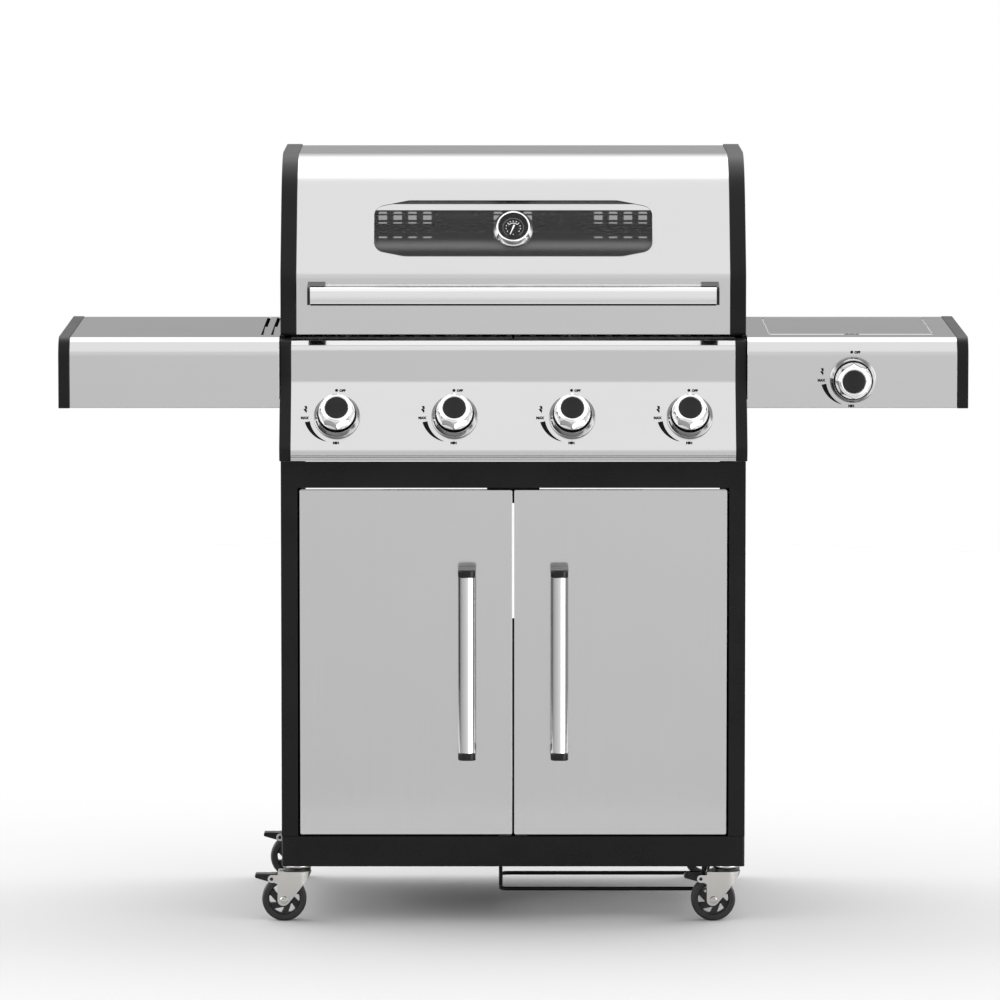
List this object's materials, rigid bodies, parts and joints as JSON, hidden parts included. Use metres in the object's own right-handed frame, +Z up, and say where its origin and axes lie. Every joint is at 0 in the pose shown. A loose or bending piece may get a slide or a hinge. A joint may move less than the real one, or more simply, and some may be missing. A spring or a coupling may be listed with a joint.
{
  "type": "gas barbecue grill",
  "caption": "Gas barbecue on a two-door cabinet with casters: hinged windowed lid, push-and-turn valve knobs, side shelves and a lidded side burner.",
  "frame": {"origin": "on the floor, under the middle of the grill's bounding box", "axes": "+X towards the side burner, +Y from the doors to the back, +Z up"},
  "size_m": [1.34, 0.5636, 1.136],
  "materials": {
    "stainless": "fine brushed stainless sheet, semi-gloss",
    "handle_steel": "polished stainless tube",
    "chrome": "satin chrome plating",
    "black_enamel": "black powder coat, fine satin",
    "black_plastic": "moulded black nylon",
    "smoked_glass": "smoked tempered glass",
    "cast_iron": "enamelled cast iron",
    "burner_steel": "stainless tube with heat tint",
    "steel_wire": "plated wire",
    "burner_pan": "pressed aluminium",
    "brass": "turned brass",
    "zinc_plate": "bright zinc plating",
    "caster_rubber": "black polyurethane tread on a black nylon wheel",
    "dial_white": "white paint"
  },
  "bodies": {
    "grill": {"cabinet_frame": "black_enamel", "side_panel_left": "black_enamel", "side_panel_right": "black_enamel", "back_panel": "black_enamel", "base_tray": "black_enamel", "bottle_holder": "black_enamel", "firebox": "black_enamel", "cooking_grate_left": "cast_iron", "cooking_grate_right": "cast_iron", "warming_rack": "steel_wire", "burner_1": "burner_steel", "burner_2": "burner_steel", "burner_3": "burner_steel", "burner_4": "burner_steel", "gas_manifold": "brass", "control_panel": "stainless", "panel_cap_left": "black_enamel", "panel_cap_right": "black_enamel", "left_shelf": "stainless", "right_shelf": "stainless", "shelf_cap_left": "black_enamel", "shelf_cap_right": "black_enamel", "side_burner": "burner_pan"},
    "lid": {"lid_hood": "stainless", "lid_cap_left": "black_enamel", "lid_cap_right": "black_enamel", "lid_glass": "smoked_glass", "lid_handle_bar": "handle_steel", "lid_handle_bracket_left": "black_plastic", "lid_handle_bracket_right": "black_plastic", "thermometer": "chrome"},
    "needle": {"thermometer_needle": "dial_white"},
    "left_door": {"door_left": "stainless", "door_handle_left": "handle_steel"},
    "right_door": {"door_right": "stainless", "door_handle_right": "handle_steel"},
    "drip_tray": {"grease_tray": "burner_pan"},
    "side_lid": {"side_burner_lid": "stainless"},
    "valve_1": {"valve_stem_1": "brass"},
    "knob_1": {"knob_1": "chrome"},
    "valve_2": {"valve_stem_2": "brass"},
    "knob_2": {"knob_2": "chrome"},
    "valve_3": {"valve_stem_3": "brass"},
    "knob_3": {"knob_3": "chrome"},
    "valve_4": {"valve_stem_4": "brass"},
    "knob_4": {"knob_4": "chrome"},
    "valve_5": {"valve_stem_5": "brass"},
    "knob_5": {"knob_5": "chrome"},
    "caster_front_left": {"caster_fork_front_left": "zinc_plate"},
    "wheel_front_left": {"wheel_front_left": "caster_rubber"},
    "brake_front_left": {"brake_lever_front_left": "black_plastic"},
    "caster_front_right": {"caster_fork_front_right": "zinc_plate"},
    "wheel_front_right": {"wheel_front_right": "caster_rubber"},
    "brake_front_right": {"brake_lever_front_right": "black_plastic"},
    "caster_rear_left": {"caster_fork_rear_left": "zinc_plate"},
    "wheel_rear_left": {"wheel_rear_left": "caster_rubber"},
    "brake_rear_left": {"brake_lever_rear_left": "black_plastic"},
    "caster_rear_right": {"caster_fork_rear_right": "zinc_plate"},
    "wheel_rear_right": {"wheel_rear_right": "caster_rubber"},
    "brake_rear_right": {"brake_lever_rear_right": "black_plastic"}
  },
  "joints": [
    {"name": "lid_hinge", "type": "hinge", "parent": "grill", "child": "lid", "pos_m": [0, 0.2388, 0.893], "axis": [-1, 0, 0], "range_deg": [0, 85]},
    {"name": "thermometer_needle_turn", "type": "hinge", "parent": "lid", "child": "needle", "pos_m": [0, -0.1354, 1.03], "axis": [0, 0.8635, -0.5044], "range_deg": [0, 300]},
    {"name": "left_door_hinge", "type": "hinge", "parent": "grill", "child": "left_door", "pos_m": [-0.3125, -0.1937, 0.39], "axis": [0, 0, -1], "range_deg": [0, 110]},
    {"name": "right_door_hinge", "type": "hinge", "parent": "grill", "child": "right_door", "pos_m": [0.3125, -0.1937, 0.39], "axis": [0, 0, 1], "range_deg": [0, 110]},
    {"name": "grease_tray_slide", "type": "slide", "parent": "grill", "child": "drip_tray", "axis": [0, 1, 0], "range_m": [0, 0.38]},
    {"name": "side_burner_lid_hinge", "type": "hinge", "parent": "grill", "child": "side_lid", "pos_m": [0.501, 0.1603, 0.876], "axis": [-1, 0, 0], "range_deg": [0, 100]},
    {"name": "knob_1_turn", "type": "hinge", "parent": "grill", "child": "valve_1", "pos_m": [-0.2595, -0.23796, 0.76], "axis": [0, -0.8925, 0.451], "range_deg": [-90, 90]},
    {"name": "knob_1_push", "type": "slide", "parent": "valve_1", "child": "knob_1", "axis": [0, 0.8925, -0.451], "range_m": [0, 0.004], "stiffness_N_per_m": 1500, "springref_m": -0.002},
    {"name": "knob_2_turn", "type": "hinge", "parent": "grill", "child": "valve_2", "pos_m": [-0.0866, -0.23796, 0.76], "axis": [0, -0.8925, 0.451], "range_deg": [0, 180]},
    {"name": "knob_2_push", "type": "slide", "parent": "valve_2", "child": "knob_2", "axis": [0, 0.8925, -0.451], "range_m": [0, 0.004], "stiffness_N_per_m": 1500, "springref_m": -0.002},
    {"name": "knob_3_turn", "type": "hinge", "parent": "grill", "child": "valve_3", "pos_m": [0.0866, -0.23796, 0.76], "axis": [0, -0.8925, 0.451], "range_deg": [0, 180]},
    {"name": "knob_3_push", "type": "slide", "parent": "valve_3", "child": "knob_3", "axis": [0, 0.8925, -0.451], "range_m": [0, 0.004], "stiffness_N_per_m": 1500, "springref_m": -0.002},
    {"name": "knob_4_turn", "type": "hinge", "parent": "grill", "child": "valve_4", "pos_m": [0.2595, -0.23796, 0.76], "axis": [0, -0.8925, 0.451], "range_deg": [0, 180]},
    {"name": "knob_4_push", "type": "slide", "parent": "valve_4", "child": "knob_4", "axis": [0, 0.8925, -0.451], "range_m": [0, 0.004], "stiffness_N_per_m": 1500, "springref_m": -0.002},
    {"name": "knob_5_turn", "type": "hinge", "parent": "grill", "child": "valve_5", "pos_m": [0.5, -0.2232, 0.8137], "axis": [0, -1, 0], "range_deg": [0, 180]},
    {"name": "knob_5_push", "type": "slide", "parent": "valve_5", "child": "knob_5", "axis": [0, 1, 0], "range_m": [0, 0.004], "stiffness_N_per_m": 1500, "springref_m": -0.002},
    {"name": "caster_front_left_swivel", "type": "hinge", "parent": "grill", "child": "caster_front_left", "pos_m": [-0.321, -0.1632, 0.08], "axis": [0, 0, 1], "continuous": true},
    {"name": "wheel_front_left_roll", "type": "hinge", "parent": "caster_front_left", "child": "wheel_front_left", "pos_m": [-0.341, -0.1632, 0.033], "axis": [0, 1, 0], "continuous": true},
    {"name": "brake_front_left_press", "type": "hinge", "parent": "caster_front_left", "child": "brake_front_left", "pos_m": [-0.362, -0.1632, 0.067], "axis": [0, -1, 0], "range_deg": [0, 20]},
    {"name": "caster_front_right_swivel", "type": "hinge", "parent": "grill", "child": "caster_front_right", "pos_m": [0.318, -0.1632, 0.08], "axis": [0, 0, 1], "continuous": true},
    {"name": "wheel_front_right_roll", "type": "hinge", "parent": "caster_front_right", "child": "wheel_front_right", "pos_m": [0.298, -0.1632, 0.033], "axis": [0, 1, 0], "continuous": true},
    {"name": "brake_front_right_press", "type": "hinge", "parent": "caster_front_right", "child": "brake_front_right", "pos_m": [0.277, -0.1632, 0.067], "axis": [0, -1, 0], "range_deg": [0, 20]},
    {"name": "caster_rear_left_swivel", "type": "hinge", "parent": "grill", "child": "caster_rear_left", "pos_m": [-0.321, 0.2558, 0.08], "axis": [0, 0, 1], "continuous": true},
    {"name": "wheel_rear_left_roll", "type": "hinge", "parent": "caster_rear_left", "child": "wheel_rear_left", "pos_m": [-0.341, 0.2558, 0.033], "axis": [0, 1, 0], "continuous": true},
    {"name": "brake_rear_left_press", "type": "hinge", "parent": "caster_rear_left", "child": "brake_rear_left", "pos_m": [-0.362, 0.2558, 0.067], "axis": [0, -1, 0], "range_deg": [0, 20]},
    {"name": "caster_rear_right_swivel", "type": "hinge", "parent": "grill", "child": "caster_rear_right", "pos_m": [0.318, 0.2558, 0.08], "axis": [0, 0, 1], "continuous": true},
    {"name": "wheel_rear_right_roll", "type": "hinge", "parent": "caster_rear_right", "child": "wheel_rear_right", "pos_m": [0.298, 0.2558, 0.033], "axis": [0, 1, 0], "continuous": true},
    {"name": "brake_rear_right_press", "type": "hinge", "parent": "caster_rear_right", "child": "brake_rear_right", "pos_m": [0.277, 0.2558, 0.067], "axis": [0, -1, 0], "range_deg": [0, 20]}
  ]
}
